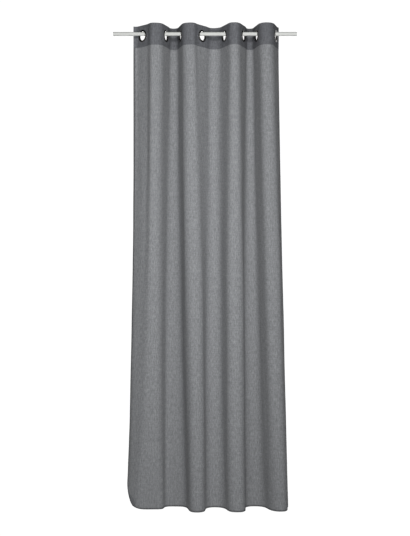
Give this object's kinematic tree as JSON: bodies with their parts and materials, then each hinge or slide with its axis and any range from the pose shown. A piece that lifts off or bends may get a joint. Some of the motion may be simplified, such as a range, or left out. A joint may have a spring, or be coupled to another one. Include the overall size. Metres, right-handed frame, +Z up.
{
  "type": "curtain panel",
  "caption": "Sheer fabric curtain panel hung in pleats by metal eyelets on a short straight rod, able to be drawn along it.",
  "frame": {"origin": "middle of the rod's axis", "axes": "+X along the rod to the viewer's right, -Y towards the room, +Z up"},
  "size_m": [0.93, 0.1592, 2.45],
  "materials": {
    "rod": "satin",
    "eyelet": "polished",
    "cloth": "matte",
    "header": "matte",
    "stiffener": "matte"
  },
  "bodies": {
    "rod": {"rod": "rod"},
    "section_1": {"cloth_1": "cloth", "header_1": "header", "header_tape_1": "stiffener", "eyelet_front_1": "eyelet", "eyelet_back_1": "eyelet"},
    "section_2": {"cloth_2": "cloth", "header_2": "header", "header_tape_2": "stiffener", "eyelet_front_2": "eyelet", "eyelet_back_2": "eyelet"},
    "section_3": {"cloth_3": "cloth", "header_3": "header", "header_tape_3": "stiffener", "eyelet_front_3": "eyelet", "eyelet_back_3": "eyelet"},
    "section_4": {"cloth_4": "cloth", "header_4": "header", "header_tape_4": "stiffener", "eyelet_front_4": "eyelet", "eyelet_back_4": "eyelet"},
    "section_5": {"cloth_5": "cloth", "header_5": "header", "header_tape_5": "stiffener", "eyelet_front_5": "eyelet", "eyelet_back_5": "eyelet"},
    "section_6": {"cloth_6": "cloth", "header_6": "header", "header_tape_6": "stiffener", "eyelet_front_6": "eyelet", "eyelet_back_6": "eyelet"},
    "section_7": {"cloth_7": "cloth", "header_7": "header", "header_tape_7": "stiffener", "eyelet_front_7": "eyelet", "eyelet_back_7": "eyelet"},
    "section_8": {"cloth_8": "cloth", "header_8": "header", "header_tape_8": "stiffener", "eyelet_front_8": "eyelet", "eyelet_back_8": "eyelet"}
  },
  "joints": [
    {"name": "eyelet_1_turn", "type": "hinge", "parent": "rod", "child": "section_1", "pos_m": [-0.315, 0, 0], "axis": [0, 0, 1], "range_deg": [-16, 2]},
    {"name": "fold_1", "type": "hinge", "parent": "section_1", "child": "section_2", "pos_m": [-0.257, -0.06278, 0], "axis": [0, 0, 1], "range_deg": [-4, 32]},
    {"name": "fold_2", "type": "hinge", "parent": "section_2", "child": "section_3", "pos_m": [-0.161, 0.07643, 0], "axis": [0, 0, 1], "range_deg": [-32, 4]},
    {"name": "fold_3", "type": "hinge", "parent": "section_3", "child": "section_4", "pos_m": [-0.069, -0.06524, 0], "axis": [0, 0, 1], "range_deg": [-4, 32]},
    {"name": "fold_4", "type": "hinge", "parent": "section_4", "child": "section_5", "pos_m": [0.042, 0.06463, 0], "axis": [0, 0, 1], "range_deg": [-32, 4]},
    {"name": "fold_5", "type": "hinge", "parent": "section_5", "child": "section_6", "pos_m": [0.1465, -0.07123, 0], "axis": [0, 0, 1], "range_deg": [-4, 32]},
    {"name": "fold_6", "type": "hinge", "parent": "section_6", "child": "section_7", "pos_m": [0.228, 0.07852, 0], "axis": [0, 0, 1], "range_deg": [-32, 4]},
    {"name": "fold_7", "type": "hinge", "parent": "section_7", "child": "section_8", "pos_m": [0.3095, -0.06843, 0], "axis": [0, 0, 1], "range_deg": [-4, 32]}
  ],
  "couplings": [
    {"joint": "fold_1", "follows": "eyelet_1_turn", "ratio": -2},
    {"joint": "fold_2", "follows": "eyelet_1_turn", "ratio": 2},
    {"joint": "fold_3", "follows": "eyelet_1_turn", "ratio": -2},
    {"joint": "fold_4", "follows": "eyelet_1_turn", "ratio": 2},
    {"joint": "fold_5", "follows": "eyelet_1_turn", "ratio": -2},
    {"joint": "fold_6", "follows": "eyelet_1_turn", "ratio": 2},
    {"joint": "fold_7", "follows": "eyelet_1_turn", "ratio": -2}
  ]
}
